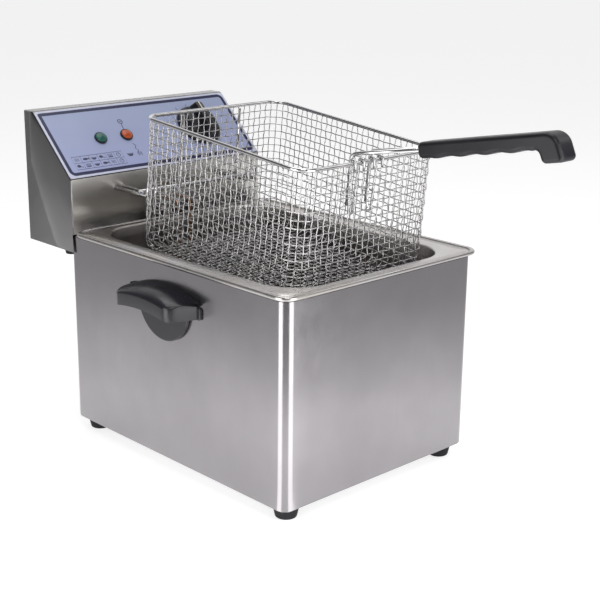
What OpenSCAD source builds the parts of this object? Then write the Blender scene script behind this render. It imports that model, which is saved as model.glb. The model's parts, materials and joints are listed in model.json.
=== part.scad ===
// Countertop deep fryer: an outer casing on rubber feet, a lift-out oil tank, a control head that
// hooks over the casing's rear wall, and a wire basket hung on the head with a detachable handle.
// Millimetres, +Z up, the front faces -Y. The floor is z = 0, under the rubber feet.

/* [Casing] */
// Width of the casing
casing_w = 268; // [258:1:276]
// Depth of the casing
casing_d = 352; // [346:1:356]
// Height of the casing above its feet
casing_h = 213; // [205:1:230]
// Radius of the casing's upright corners
casing_corner_r = 11; // [8:1:14]
// Height of the rubber feet
foot_h = 14; // [10:1:20]
// Diameter of a rubber foot where it meets the casing
foot_d = 27; // [22:1:30]
// Where the side handles sit behind the casing's middle
side_handle_y = 8; // [0:1:20]
// How far a side handle stands out
side_handle_reach = 33; // [30:1:38]

/* [Oil tank] */
// Inside width of the tank
tank_w = 222; // [216:1:226]
// Inside depth of the tank, front to back
tank_d = 311; // [305:1:313]
// Radius of the tank's upright corners
tank_corner_r = 38; // [30:1:44]
// Depth of the tank below its rim
tank_depth = 165; // [150:1:180]
// Height of the rim above the casing
rim_h = 6; // [5:0.5:8]

/* [Control head] */
// Width of the control head
head_w = 272; // [272:1:284]
// Depth of the control head at its base
head_d = 88; // [84:1:110]
// Height of the head's base above the casing's bottom
head_base_h = 194; // [185:1:198]
// Height of the panel's lower edge above the casing's bottom
head_knee_h = 275; // [270:1:285]
// Height of the head's top above the casing's bottom
head_top_h = 341.5; // [335:0.5:350]
// Depth of the flat strip on top of the head
head_top_d = 17; // [12:1:22]
// Diameter of the knob's skirt
knob_d = 57; // [50:1:60]
// Height of the knob
knob_h = 22; // [18:1:26]

/* [Basket] */
// Width of the basket, rim wire centre to centre
basket_w = 190; // [180:1:194]
// Depth of the basket, rim wire centre to centre
basket_d = 242; // [236:1:244]
// Height of the basket below its rim wire
basket_h = 142; // [130:1:144]
// Radius of the basket's upright corners
basket_corner_r = 18; // [14:1:24]
// Forward tilt of the basket on its hanger, degrees
basket_tilt = 5.6; // [5:0.1:6]
// Diameter of the rim wire
rim_wire_d = 4; // [3.5:0.1:4.5]

/* [Basket handle] */
// Sideways place of the handle
handle_x = -9; // [-12:1:0]
// Slope of the handle above the basket's rim, degrees
handle_slope = 16.5; // [14:0.5:18]
// Length of the bare wires between the rim and the grip
handle_neck = 73; // [66:1:80]
// Width of the grip
grip_w = 23; // [18:1:26]

/* [Hidden] */
$fn = 48;
sheet = 1;
gap = 0.3;
case_z = foot_h;
case_top = foot_h + casing_h;
rim_top = case_top + rim_h;
flange_in = 34;
foot_tip_d = foot_d - 5;
foot_x = casing_w / 2 - 20;
foot_y = casing_d / 2 - 19;
foot_recess = 7;
screw_d = 4;
screw_head_h = 2.4;

// Side handles, measured from a middle this high above the casing's bottom.
handle_up = 172;
handle_screw_half = 30;
hood_half = 56;
hood_top = 24.5;
hood_low = -11;
hood_wall = 6;
hood_roof = 5.5;
backing_r = 41.5;
backing_t = 4;
flange_t = 3;

tank_front = -161;
tank_y = tank_front + tank_d / 2;
tank_floor = rim_top - tank_depth;
rim_half_w = casing_w / 2 + 6;
rim_front = -casing_d / 2 - 6;
rim_back = 163;
rim_corner_r = 16;
bead_d = 5.2;

wall_y = 165;
head_back = wall_y + head_d;
base_z = foot_h + head_base_h;
knee_z = foot_h + head_knee_h;
top_z = foot_h + head_top_h;
crest_y = head_back - head_top_d;
saddle_y = casing_d / 2 + 2.2;
head_foot_x = 124;
head_foot_y = casing_d / 2 + 10;
back_screw_in = 12;
slope_len = norm([crest_y - wall_y, top_z - knee_z]);
slope_deg = atan2(top_z - knee_z, crest_y - wall_y);
panel_t = 1.2;
panel_mid = 49.5;
lamp_green_x = -70.5;
lamp_orange_x = -35;
knob_x = 71;
shaft_d = 6;
shaft_in = 18;
bush_d = 9;
lamp_d = 11;
lamp_bezel_d = 15.6;
lens_d = 13;
back_face = head_back - sheet;
reset_x = 60;
reset_z = 265;
gland_x = -80;
gland_z = 236;
gland_reach = 16;
gland_d = 15.6;
reset_stem_d = 6;
reset_d = 8;
reset_travel = 2.5;

tube_d = 7;
element_z = tank_floor + 13;
riser_y = 141;
riser_x = 24;
element_exit_z = rim_top + 12;
bulb_z = tank_floor + 26;
bulb_x = 9;
bulb_d = 6;
bulb_l = 80;
bulb_back = riser_y - 14;
capillary_d = 2;
capillary_z = element_exit_z + 8;
loop_outer = 84;
loop_inner = 34;
switch_x = 100;
switch_y = 170;
plunger_d = 3;

basket_y = -34.5;
basket_z = foot_h + 337.5;
mesh_t = 1;
hang_z = foot_h + 259;
hang_d = 4.5;
hang_x = 72;
hang_half = 5.5;
hang_front = 105;
bar_y = 113;
bar_half = 84;
hook_leg_x = 40;
bracket_y = -basket_d / 2 + 3.4;
prong_y = -basket_d / 2 + 8;
prong_half = 13;
prong_low = -44;
prong_d = 4;
leg_d = 3.9;
tang = 16;
tang_half = 2.6;
over_rim = 9.5;

// ---- frames -------------------------------------------------------------------------------

function unit(v) = v / norm(v);

// A point of the basket's own frame, given in the casing's frame.
function from_basket(p) = [
    p[0],
    basket_y + p[1] * cos(basket_tilt) - p[2] * sin(basket_tilt),
    basket_z + p[1] * sin(basket_tilt) + p[2] * cos(basket_tilt)];

// A point of the handle's own frame: u runs out along the grip, v square to it.
function from_handle(u, v, x = 0) = [
    handle_x + x,
    -basket_d / 2 - u * cos(handle_slope) + v * sin(handle_slope),
    over_rim + u * sin(handle_slope) + v * cos(handle_slope)];

function arc(c, r, a0, a1, n = 6) =
    [for (i = [0 : n]) c + r * [cos(a0 + (a1 - a0) * i / n), sin(a0 + (a1 - a0) * i / n)]];

// Side outline of the grip: a level bar with a scalloped underside and a hooked end.
grip_start = handle_neck;
grip_end = handle_neck + 159;
hook_u = grip_end - 28;
wave_u = grip_start + 14;
grip_outline = concat(
    arc([grip_start + 4, 2], 4, 180, 90),
    arc([grip_end - 17, -9], 14.5, 90, 12),
    arc([grip_end - 5, -16.5], 4.5, 10, -80),
    arc([hook_u + 10, -16], 5, -90, -160),
    arc([hook_u - 1, -14.5], 5.2, 20, 90),
    [for (i = [0 : 32]) let (u = hook_u - 4 - (hook_u - 4 - wave_u) * i / 32)
        [u, -9.6 + 0.8 * sin(360 * 4 * i / 32)]],
    arc([grip_start + 4, -5], 4, 270, 180));

// The whole object's box is centred on the origin, front to back.
tip_y = min([for (p = grip_outline) from_basket(from_handle(p[0], p[1]))[1]]);
back_y = head_back + gland_reach;
frame_y = -(tip_y + back_y) / 2;

module in_frame() translate([0, frame_y, 0]) children();

module in_basket()
    in_frame() translate([0, basket_y, basket_z]) rotate([basket_tilt, 0, 0]) children();

// s runs across the sloping panel and t up it, from the middle of its lower edge.
module on_panel(s, t, h = 0)
    in_frame() translate([0, wall_y, knee_z]) rotate([slope_deg, 0, 0])
        translate([s, t, h]) children();

// ---- shared shapes ------------------------------------------------------------------------

module rounded_rect(w, d, r) {
    square([w - 2 * r, d], center = true);
    square([w, d - 2 * r], center = true);
    for (sx = [-1, 1], sy = [-1, 1])
        translate([sx * (w / 2 - r), sy * (d / 2 - r)]) circle(r);
}

module rounded_block(w, d, h, r) linear_extrude(h) rounded_rect(w, d, r);

module between(a, b, d) {
    v = b - a;
    translate(a) rotate([0, acos(v[2] / norm(v)), atan2(v[1], v[0])]) cylinder(h = norm(v), d = d);
}

// A quarter-or-less turn of round bar at corner p, from direction a to direction b.
module bend(p, a, b, r, d) {
    turn = acos(a * b);
    side = unit(b - a * (a * b));
    c = p - a * r * tan(turn / 2) + side * r;
    n = cross(a, side);
    multmatrix([[-side[0], a[0], n[0], c[0]], [-side[1], a[1], n[1], c[1]],
                [-side[2], a[2], n[2], c[2]], [0, 0, 0, 1]])
        rotate_extrude(angle = turn) translate([r, 0]) circle(d = d);
}

// Round bar through the points, with every inner corner bent to radius r.
module wire(pts, d, r) {
    last = len(pts) - 1;
    dirs = [for (i = [0 : last - 1]) unit(pts[i + 1] - pts[i])];
    trim = [for (i = [0 : last]) i == 0 || i == last ? 0
        : r * tan(acos(dirs[i - 1] * dirs[i]) / 2)];
    for (i = [0 : last - 1])
        between(pts[i] + dirs[i] * trim[i], pts[i + 1] - dirs[i] * trim[i + 1], d);
    for (i = [1 : last - 1]) bend(pts[i], dirs[i - 1], dirs[i], r, d);
}

// Round bar through the points, with a slightly fuller ball at every corner.
module knuckled_wire(pts, d) {
    for (i = [1 : len(pts) - 1]) between(pts[i - 1], pts[i], d);
    for (i = [1 : len(pts) - 2]) translate(pts[i]) sphere(d = d + 0.3);
}

// A closed loop of round bar round a rectangle centred on the origin.
module wire_loop(w, d, r, bar)
    wire([[0, -d / 2, 0], [w / 2, -d / 2, 0], [w / 2, d / 2, 0], [-w / 2, d / 2, 0],
        [-w / 2, -d / 2, 0], [0, -d / 2, 0]], bar, r);

module pan_head_screw(len) {
    cylinder(h = screw_head_h, d = 2 * screw_d);
    translate([0, 0, screw_head_h]) cylinder(h = len, d = screw_d);
}

module ring(d_out, d_in, h) difference() {
    cylinder(h = h, d = d_out);
    translate([0, 0, -1]) cylinder(h = h + 2, d = d_in);
}

// ---- casing -------------------------------------------------------------------------------

module at_feet() for (sx = [-1, 1], sy = [-1, 1])
    translate([sx * foot_x, sy * foot_y, 0]) children();

module at_handle_screws(side) for (e = [-1, 1])
    translate([side * casing_w / 2, side_handle_y + e * handle_screw_half, case_z + handle_up])
        rotate([0, side * 90, 0]) children();

module casing_shell() color("silver") in_frame() difference() {
    translate([0, 0, case_z]) rounded_block(casing_w, casing_d, casing_h, casing_corner_r);
    translate([0, 0, case_z + sheet])
        rounded_block(casing_w - 2 * sheet, casing_d - 2 * sheet, casing_h - 2 * sheet,
            casing_corner_r - sheet);
    translate([0, tank_y, case_top - 10]) rounded_block(tank_w + 14, tank_d + 10, 20,
        tank_corner_r + 4);
    translate([0, 0, case_z - 5])
        rounded_block(casing_w - 2 * flange_in, casing_d - 2 * flange_in, 10, 20);
    at_feet() translate([0, 0, case_z - 5]) cylinder(h = 10, d = screw_d + 0.4);
    for (side = [-1, 1]) at_handle_screws(side)
        translate([0, 0, -5]) cylinder(h = 10, d = screw_d + 0.4);
}

module casing_base() color("silver") in_frame() difference() {
    translate([0, 0, case_z + sheet]) rounded_block(casing_w - 4, casing_d - 4, sheet,
        casing_corner_r - 2);
    at_feet() translate([0, 0, case_z]) cylinder(h = 10, d = screw_d + 0.4);
    for (i = [-3 : 3], j = [-1, 1])
        translate([i * 18 - 4, j * 60 - 30, case_z]) cube([8, 60, 5]);
}

// Half-round hood over a finger recess, on a flange with a half disc below.
module side_handle(side) color([0.15, 0.14, 0.16]) in_frame()
    translate([side * casing_w / 2, side_handle_y, case_z + handle_up])
    mirror([side < 0 ? 1 : 0, 0, 0]) difference() {
        union() {
            intersection() {
                rotate([0, 90, 0]) cylinder(h = backing_t, r = backing_r);
                translate([0, -hood_half, -hood_half])
                    cube([backing_t, 2 * hood_half, hood_half + 6]);
            }
            translate([0, -hood_half - 4, -7]) cube([flange_t, 2 * hood_half + 8, 15]);
            side_handle_hood(hood_half, side_handle_reach, hood_top, hood_low);
        }
        translate([0.02, 0, 0]) intersection() {
            side_handle_hood(hood_half - hood_wall, side_handle_reach - 5,
                hood_top - hood_roof, 2 * hood_low);
            translate([backing_t, -hood_half, -hood_half])
                cube([hood_half, 2 * hood_half, 2 * hood_half]);
        }
        for (e = [-1, 1]) translate([-1, e * handle_screw_half, 0]) rotate([0, 90, 0])
            cylinder(h = 11, d = screw_d);
    }

// Outline seen from above, crossed with the arched front outline and the rounded section.
module side_handle_hood(half, reach, top, low) {
    crown_r = 62;
    intersection() {
        translate([0, 0, low]) linear_extrude(top - low) union() {
            polygon([[0, -half], [reach * 0.6, -half + 6], [reach - 12, -half + 14],
                [reach, -half + 28], [reach, half - 28], [reach - 12, half - 14],
                [reach * 0.6, half - 6], [0, half]]);
            for (s = [-1, 1]) translate([reach - 14, s * (half - 28)]) circle(14);
        }
        rotate([90, 0, 0]) linear_extrude(2 * half, center = true) union() {
            polygon([[0, low], [reach, low], [reach, 0], [reach - 12, top - 4], [0, top]]);
            translate([reach - 20, 0]) circle(20);
        }
        union() {
            translate([0, 0, top - crown_r]) rotate([0, 90, 0])
                cylinder(h = reach, r = crown_r, $fn = 96);
            translate([0, -half, low]) cube([reach, 2 * half, -low + 4]);
        }
    }
}

module side_handle_left() side_handle(-1);
module side_handle_right() side_handle(1);

module side_handle_screws() color("gray") in_frame()
    for (side = [-1, 1]) at_handle_screws(side)
        translate([0, 0, -sheet - screw_head_h]) pan_head_screw(9);

module foot(sx, sy) color([0.16, 0.15, 0.17]) in_frame()
    translate([sx * foot_x, sy * foot_y, 0]) difference() {
        cylinder(h = foot_h, d1 = foot_tip_d, d2 = foot_d);
        translate([0, 0, -1]) cylinder(h = foot_recess + 1, d = 11);
        cylinder(h = foot_h + 1, d = screw_d + 0.2);
    }

module foot_front_left() foot(-1, -1);
module foot_front_right() foot(1, -1);
module foot_rear_left() foot(-1, 1);
module foot_rear_right() foot(1, 1);

module foot_screws() color("gray") in_frame() at_feet() {
    translate([0, 0, foot_recess - screw_head_h - 0.1]) pan_head_screw(foot_h);
    translate([0, 0, case_z + 2 * sheet]) ring(8, screw_d, 3);
}

// ---- oil tank -----------------------------------------------------------------------------

module oil_tank() color("gainsboro") in_frame() {
    difference() {
        union() {
            translate([0, tank_y, tank_floor - sheet])
                rounded_block(tank_w + 2 * sheet, tank_d + 2 * sheet, tank_depth,
                    tank_corner_r + sheet);
            translate([0, (rim_front + rim_back) / 2, rim_top - 2 * sheet])
                rounded_block(2 * rim_half_w - bead_d, rim_back - rim_front - bead_d, sheet,
                    rim_corner_r - bead_d / 2);
        }
        translate([0, tank_y, tank_floor])
            rounded_block(tank_w, tank_d, tank_depth + 5, tank_corner_r);
    }
    translate([0, (rim_front + rim_back) / 2, rim_top - bead_d / 2])
        wire_loop(2 * rim_half_w - bead_d, rim_back - rim_front - bead_d,
            rim_corner_r - bead_d / 2, bead_d);
}

// ---- control head -------------------------------------------------------------------------

// Side outline of the head, drawn as [y, z], with every face moved in by t and the slope
// by the panel's thickness more.
function head_outline(t) = [
    [wall_y + t, base_z + t],
    [wall_y + t, knee_z + t * tan(slope_deg) - (panel_t + t) / cos(slope_deg)],
    [crest_y - t / tan(slope_deg) + (panel_t + t) / sin(slope_deg), top_z - t],
    [head_back - t, top_z - t],
    [head_back - t, base_z + t]];

module head_prism(t, w) rotate([90, 0, 90]) translate([0, 0, -w / 2])
    linear_extrude(w) polygon(head_outline(t));

module head_cover() color("silver") difference() {
    in_frame() difference() {
        head_prism(0, head_w);
        head_prism(sheet, head_w - 2 * sheet);
        translate([-head_w / 2 + sheet, back_face, base_z - 1])
            cube([head_w - 2 * sheet, 5, top_z - sheet - base_z + 1]);
        translate([-head_w / 2 + sheet, wall_y - 1, base_z - 1])
            cube([head_w - 2 * sheet, head_d + 5, sheet + 2]);
        translate([-head_w / 2 + sheet, wall_y - 1, base_z - 1])
            cube([head_w - 2 * sheet, 5, case_top + sheet - base_z + 1]);
        for (sx = [-1, 1]) translate([sx * riser_x, wall_y - 2, element_exit_z])
            rotate([-90, 0, 0]) cylinder(h = 6, d = tube_d + 1);
        for (sx = [-1, 1], e = [-1, 1])
            translate([sx * hang_x + e * hang_half, wall_y - 2, hang_z])
            rotate([-90, 0, 0]) cylinder(h = 6, d = hang_d + 0.2);
        for (sx = [-1, 1]) translate([sx * bulb_x, wall_y - 2, capillary_z])
            rotate([-90, 0, 0]) cylinder(h = 6, d = capillary_d + 1);
    }
    for (x = [lamp_green_x, lamp_orange_x])
        on_panel(x, panel_mid, -10) cylinder(h = 15, d = lamp_d + 0.4);
    on_panel(knob_x, panel_mid, -10) cylinder(h = 15, d = bush_d + 1);
}

module head_back_plate() color("silver") in_frame() difference() {
    translate([-head_w / 2 + sheet, back_face, base_z + sheet])
        cube([head_w - 2 * sheet, sheet, top_z - base_z - 2 * sheet]);
    translate([gland_x, back_face - 1, gland_z]) rotate([-90, 0, 0]) cylinder(h = 4, d = gland_d + 0.4);
    translate([reset_x, back_face - 1, reset_z]) rotate([-90, 0, 0]) cylinder(h = 4, d = reset_d + 3);
    at_back_screws() cylinder(h = 6, d = 3.4, center = true);
    for (i = [-4 : 4]) translate([i * 12 + 18, back_face - 1, top_z - 44]) cube([4, 4, 22]);
}

module at_back_screws() for (x = [-122, 0, 122], z = [base_z + back_screw_in, top_z - back_screw_in])
    translate([x, head_back, z]) rotate([90, 0, 0]) children();

module head_screws() color("gray") in_frame() at_back_screws() {
    translate([0, 0, -1.8]) cylinder(h = 1.8, d = 6.5);
    cylinder(h = 7, d = 3);
}

module head_base_plate() color("silver") in_frame() difference() {
    translate([-head_w / 2 + sheet, saddle_y, base_z])
        cube([head_w - 2 * sheet, back_face - saddle_y, sheet]);
    for (sx = [-1, 1]) translate([sx * head_foot_x, head_foot_y, base_z - 1])
        cylinder(h = 4, d = screw_d + 0.2);
    for (i = [-5 : 5]) translate([i * 16 - 2, 200, base_z - 1]) cube([4, 34, 4]);
}

// Folded saddle: it lies on the casing's rear edge and hangs down behind it.
module head_hook() color("silver") in_frame() difference() {
    union() {
        translate([-head_w / 2 + 3, wall_y + sheet, case_top])
            cube([head_w - 6, saddle_y - wall_y - sheet, sheet]);
        translate([-head_w / 2 + 3, saddle_y - sheet, base_z + sheet])
            cube([head_w - 6, sheet, case_top - base_z - sheet]);
    }
    translate([switch_x, switch_y, case_top - 1]) cylinder(h = 4, d = plunger_d + 1);
}

module head_feet() color([0.16, 0.15, 0.17]) in_frame() for (sx = [-1, 1])
    translate([sx * head_foot_x, head_foot_y, base_z - 6]) {
        cylinder(h = 6, d1 = 14, d2 = 17);
        cylinder(h = 7.5, d = screw_d);
    }

module control_panel() color([0.61, 0.64, 0.79]) difference() {
    on_panel(-head_w / 2, 0, -panel_t) cube([head_w, slope_len, panel_t]);
    for (x = [lamp_green_x, lamp_orange_x])
        on_panel(x, panel_mid, -10) cylinder(h = 15, d = lamp_d + 0.4);
    on_panel(knob_x, panel_mid, -10) cylinder(h = 15, d = bush_d + 1);
}

module lamp_lens(x) on_panel(x, panel_mid, 1.4) intersection() {
    cylinder(h = 4, d = lens_d);
    translate([0, 0, -9]) sphere(r = 12);
}

module lamp_body(x) on_panel(x, panel_mid) {
    difference() {
        cylinder(h = 2.6, d1 = lamp_bezel_d, d2 = lamp_bezel_d - 1);
        translate([0, 0, 1.4]) cylinder(h = 4, d = lens_d + 0.2);
    }
    translate([0, 0, -27]) cylinder(h = 27, d = lamp_d);
    for (dx = [-2.5, 2.5]) translate([dx - 0.4, -2, -35]) cube([0.8, 4, 8]);
}

module green_lamp_lens() color([0.05, 0.35, 0.25]) lamp_lens(lamp_green_x);
module green_lamp_body() color([0.1, 0.1, 0.1]) lamp_body(lamp_green_x);
module orange_lamp_lens() color([0.85, 0.35, 0.05]) lamp_lens(lamp_orange_x);
module orange_lamp_body() color([0.1, 0.1, 0.1]) lamp_body(lamp_orange_x);

module control_knob() color([0.08, 0.08, 0.09]) on_panel(knob_x, panel_mid, 0.8) difference() {
    union() {
        cylinder(h = 3, d = knob_d);
        translate([0, 0, 3]) cylinder(h = 2.5, d1 = knob_d - 1, d2 = knob_d - 5);
        translate([0, 0, 5.5]) cylinder(h = knob_h - 12, d1 = knob_d - 15, d2 = knob_d - 18);
        intersection() {
            cylinder(h = knob_h, d1 = knob_d - 7, d2 = knob_d - 11);
            translate([-7, -knob_d, 0]) cube([14, 2 * knob_d, knob_h]);
        }
    }
    translate([0, 0, -1]) cylinder(h = 13.4, d = shaft_d);
    translate([0, 0, -1]) ring(knob_d - 12, 14, 3.5);
}

module thermostat_shaft() color("gray") on_panel(knob_x, panel_mid, -shaft_in)
    cylinder(h = shaft_in + 12.8, d = shaft_d);

module thermostat_body() color("lightgray") on_panel(knob_x, panel_mid) difference() {
    union() {
        translate([-19, -19, -26]) cube([38, 38, 21]);
        translate([0, 0, -20]) cylinder(h = 20, d = bush_d);
        translate([-24, -4, -26]) cube([48, 8, 3]);
    }
    translate([0, 0, -shaft_in - 1]) cylinder(h = 40, d = shaft_d + 0.1);
}

module thermostat_nut() color("gray") on_panel(knob_x, panel_mid, -panel_t - sheet - 2.2)
    ring(14, bush_d, 2);

// Sensor tube from a bulb up the tank's rear and through the head's front wall.
module capillary(x, in_by, end_z) color("peru") in_frame()
    wire([[x, bulb_back, bulb_z], [x, riser_y, bulb_z], [x, riser_y, capillary_z],
        [x, wall_y + in_by, capillary_z], [x, wall_y + in_by, end_z]], capillary_d, 6);

module bulb(x) color([0.72, 0.55, 0.35]) in_frame()
    translate([x, bulb_back - bulb_l, bulb_z]) rotate([-90, 0, 0])
        cylinder(h = bulb_l, d = bulb_d);

module thermostat_capillary() capillary(bulb_x, 20, element_exit_z + 30);
module thermostat_bulb() bulb(bulb_x);
module limit_capillary() capillary(-bulb_x, 44, element_exit_z + 24);
module limit_bulb() bulb(-bulb_x);

module limit_thermostat() color("beige") in_frame()
    translate([reset_x, back_face, reset_z]) rotate([90, 0, 0]) difference() {
        union() {
            cylinder(h = 3, d = 20);
            translate([0, 0, 3]) cylinder(h = 22, d = 32);
            translate([-20, -3, 22]) cube([40, 6, 3]);
        }
        translate([0, 0, -1]) cylinder(h = 12, d = reset_stem_d + 0.1);
        translate([0, 0, -1]) cylinder(h = reset_travel + 1, d = reset_d + 1);
    }

module reset_collar() color([0.12, 0.12, 0.13]) in_frame()
    translate([reset_x, head_back, reset_z]) rotate([-90, 0, 0]) ring(15, reset_d + 2, 3);

module reset_button() color([0.7, 0.1, 0.08]) in_frame()
    translate([reset_x, back_face, reset_z]) rotate([-90, 0, 0]) {
        translate([0, 0, -6]) cylinder(h = 6.5, d = reset_stem_d);
        translate([0, 0, 0.5]) cylinder(h = 5, d = reset_d);
    }

module bulb_clip() color("lightgray") in_frame() difference() {
    translate([-16, riser_y - 60, bulb_z - 5]) cube([32, 8, 10]);
    for (sx = [-1, 1]) translate([sx * bulb_x, riser_y, bulb_z]) rotate([90, 0, 0])
        cylinder(h = 100, d = bulb_d);
}

module heating_element() color([0.35, 0.33, 0.32]) in_frame() {
    far = tank_front + 31;
    turn = 95;
    wire([[-riser_x, wall_y + 12, element_exit_z], [-riser_x, riser_y, element_exit_z],
        [-riser_x, riser_y, element_z], [-loop_outer, riser_y, element_z],
        [-loop_outer, far, element_z], [-loop_inner, far, element_z],
        [-loop_inner, turn, element_z], [loop_inner, turn, element_z],
        [loop_inner, far, element_z], [loop_outer, far, element_z],
        [loop_outer, riser_y, element_z], [riser_x, riser_y, element_z],
        [riser_x, riser_y, element_exit_z], [riser_x, wall_y + 12, element_exit_z]],
        tube_d, 12);
}

module element_flange() color("lightgray") in_frame() difference() {
    translate([-riser_x - 14, wall_y - 2, element_exit_z - 7])
        cube([2 * riser_x + 28, 2, 20]);
    for (sx = [-1, 1]) translate([sx * riser_x, wall_y - 3, element_exit_z])
        rotate([-90, 0, 0]) cylinder(h = 6, d = tube_d);
    for (sx = [-1, 1]) translate([sx * bulb_x, wall_y - 3, capillary_z])
        rotate([-90, 0, 0]) cylinder(h = 6, d = capillary_d + 0.6);
}

module element_nuts() color("gray") in_frame() for (sx = [-1, 1])
    translate([sx * riser_x, wall_y + sheet, element_exit_z]) rotate([-90, 0, 0])
        ring(14, tube_d, 5);

// Two bars under the loops, each drilled for the tubes that it holds apart.
module element_support() color("lightgray") in_frame() for (y = [-100, 60])
    difference() {
        translate([-loop_outer - 8, y, tank_floor + 1])
            cube([2 * loop_outer + 16, 2, element_z - tank_floor + 4]);
        for (x = [-loop_outer, -loop_inner, loop_inner, loop_outer])
            translate([x, y - 2, element_z])
            rotate([-90, 0, 0]) cylinder(h = 6, d = tube_d);
    }

module terminal_block() color("ivory") in_frame() translate([-108, 206, base_z + sheet])
    difference() {
        cube([56, 20, 16]);
        for (i = [0 : 3]) translate([7 + i * 14, 10, 7]) cylinder(h = 10, d = 5);
    }

module interlock_switch() color([0.15, 0.15, 0.16]) in_frame() difference() {
    translate([switch_x - 14, switch_y - 3, case_top + sheet + 3]) cube([28, 10, 16]);
    translate([switch_x, switch_y, case_top]) cylinder(h = 12, d = plunger_d + 0.1);
}

module interlock_plunger() color("ivory") in_frame()
    translate([switch_x, switch_y, case_top + gap]) cylinder(h = 8, d = plunger_d);

module cable_gland() color([0.12, 0.12, 0.13]) in_frame()
    translate([gland_x, head_back, gland_z]) rotate([-90, 0, 0]) difference() {
        union() {
            translate([0, 0, -12]) cylinder(h = 12, d = gland_d);
            cylinder(h = 6, d = 24, $fn = 6);
            translate([0, 0, 6]) cylinder(h = gland_reach - 6, d1 = 20, d2 = 15);
        }
        translate([0, 0, -13]) cylinder(h = gland_reach + 14, d = 8);
    }

module gland_nut() color([0.12, 0.12, 0.13]) in_frame()
    translate([gland_x, back_face, gland_z]) rotate([90, 0, 0]) ring(22, gland_d, 4);

// Two hairpin hooks with turned-up ends; their legs pass through the head's front wall.
module basket_hanger() color("whitesmoke") in_frame() for (sx = [-1, 1]) {
    tip_z = hang_z + 12;
    a = sx * hang_x - hang_half;
    b = sx * hang_x + hang_half;
    wire([[a, wall_y + 5, hang_z], [a, hang_front, hang_z], [a, hang_front, tip_z],
        [b, hang_front, tip_z], [b, hang_front, hang_z], [b, wall_y + 5, hang_z]], hang_d, 4);
}

// ---- basket -------------------------------------------------------------------------------

module basket_mesh() color([0.78, 0.77, 0.76]) in_basket() difference() {
    translate([0, 0, -basket_h]) rounded_block(basket_w + mesh_t, basket_d + mesh_t,
        basket_h - rim_wire_d / 2 - 0.05, basket_corner_r + mesh_t / 2);
    translate([0, 0, -basket_h + mesh_t]) rounded_block(basket_w - mesh_t,
        basket_d - mesh_t, basket_h, basket_corner_r - mesh_t / 2);
}

module basket_rim() color([0.6, 0.59, 0.58]) in_basket()
    wire_loop(basket_w, basket_d, basket_corner_r, rim_wire_d);

// Two legs down the rear wall carry the bar that lies on the hanger.
module basket_hook() color([0.7, 0.69, 0.68]) in_frame() {
    hook_leg_d = 3.5;
    bar_d = 4;
    bar_z = hang_z + (hang_d + bar_d) / 2 + gap;
    leg_y = basket_d / 2 + mesh_t / 2 + hook_leg_d / 2 + 0.1;
    foot_l = basket_z + leg_y * sin(basket_tilt) - bar_z;
    for (sx = [-1, 1])
        knuckled_wire([from_basket([sx * hook_leg_x, leg_y, -4]),
            from_basket([sx * hook_leg_x, leg_y, -foot_l / cos(basket_tilt)]),
            [sx * hook_leg_x, bar_y, bar_z]], hook_leg_d);
    translate([-bar_half, bar_y, bar_z]) rotate([0, 90, 0]) cylinder(h = 2 * bar_half, d = bar_d);
}

// For each prong: a narrow loop on the front wall, clipped over the rim, and a keeper round it.
module handle_bracket() color([0.7, 0.69, 0.68]) in_basket() for (s = [-1, 1]) {
    x = handle_x + s * prong_half;
    top = rim_wire_d / 2 + 1.6;
    out = -basket_d / 2 - rim_wire_d / 2 - 1.6;
    low = prong_low - 8;
    for (e = [-1, 1])
        knuckled_wire([[x + e * 3, bracket_y, low], [x + e * 6, bracket_y, top],
            [x + e * 6, out, top], [x + e * 6, out, -4]], 2.4);
    knuckled_wire([[x - 3, bracket_y, low], [x + 3, bracket_y, low]], 2.4);
    for (e = [-1, 1]) translate([x + e * 3, bracket_y, low]) sphere(d = 2.7);
    knuckled_wire([[x - 4.2, bracket_y, prong_low + 12], [x - 4.2, prong_y + 5, prong_low + 12],
        [x + 4.2, prong_y + 5, prong_low + 12], [x + 4.2, bracket_y, prong_low + 12]], 2);
}

// Each wire has an upright prong behind the rim and a sloping leg into the grip. The two bars run
// a little past their shared corner, and the leg is a shade thinner.
function prong_corner(s) = [handle_x + s * prong_half, prong_y,
    over_rim + (-basket_d / 2 - prong_y) * tan(handle_slope)];
function tang_end(s) = from_handle(handle_neck + tang, -1.5, s * tang_half);

module handle_wires() color([0.7, 0.69, 0.68]) in_basket() for (s = [-1, 1]) {
    past = 1.2;
    corner = prong_corner(s);
    between([corner[0], prong_y, prong_low], corner + [0, 0, past], prong_d);
    between(corner - past * unit(tang_end(s) - corner), tang_end(s), leg_d);
}

module handle_grip() color([0.13, 0.12, 0.14]) in_basket() difference() {
    multmatrix([[0, 0, 1, handle_x - grip_w / 2],
        [-cos(handle_slope), sin(handle_slope), 0, -basket_d / 2],
        [sin(handle_slope), cos(handle_slope), 0, over_rim], [0, 0, 0, 1]])
        linear_extrude(grip_w) polygon(grip_outline);
    for (s = [-1, 1]) between(prong_corner(s), tang_end(s), leg_d);
}

// ---- nodes --------------------------------------------------------------------------------

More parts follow.
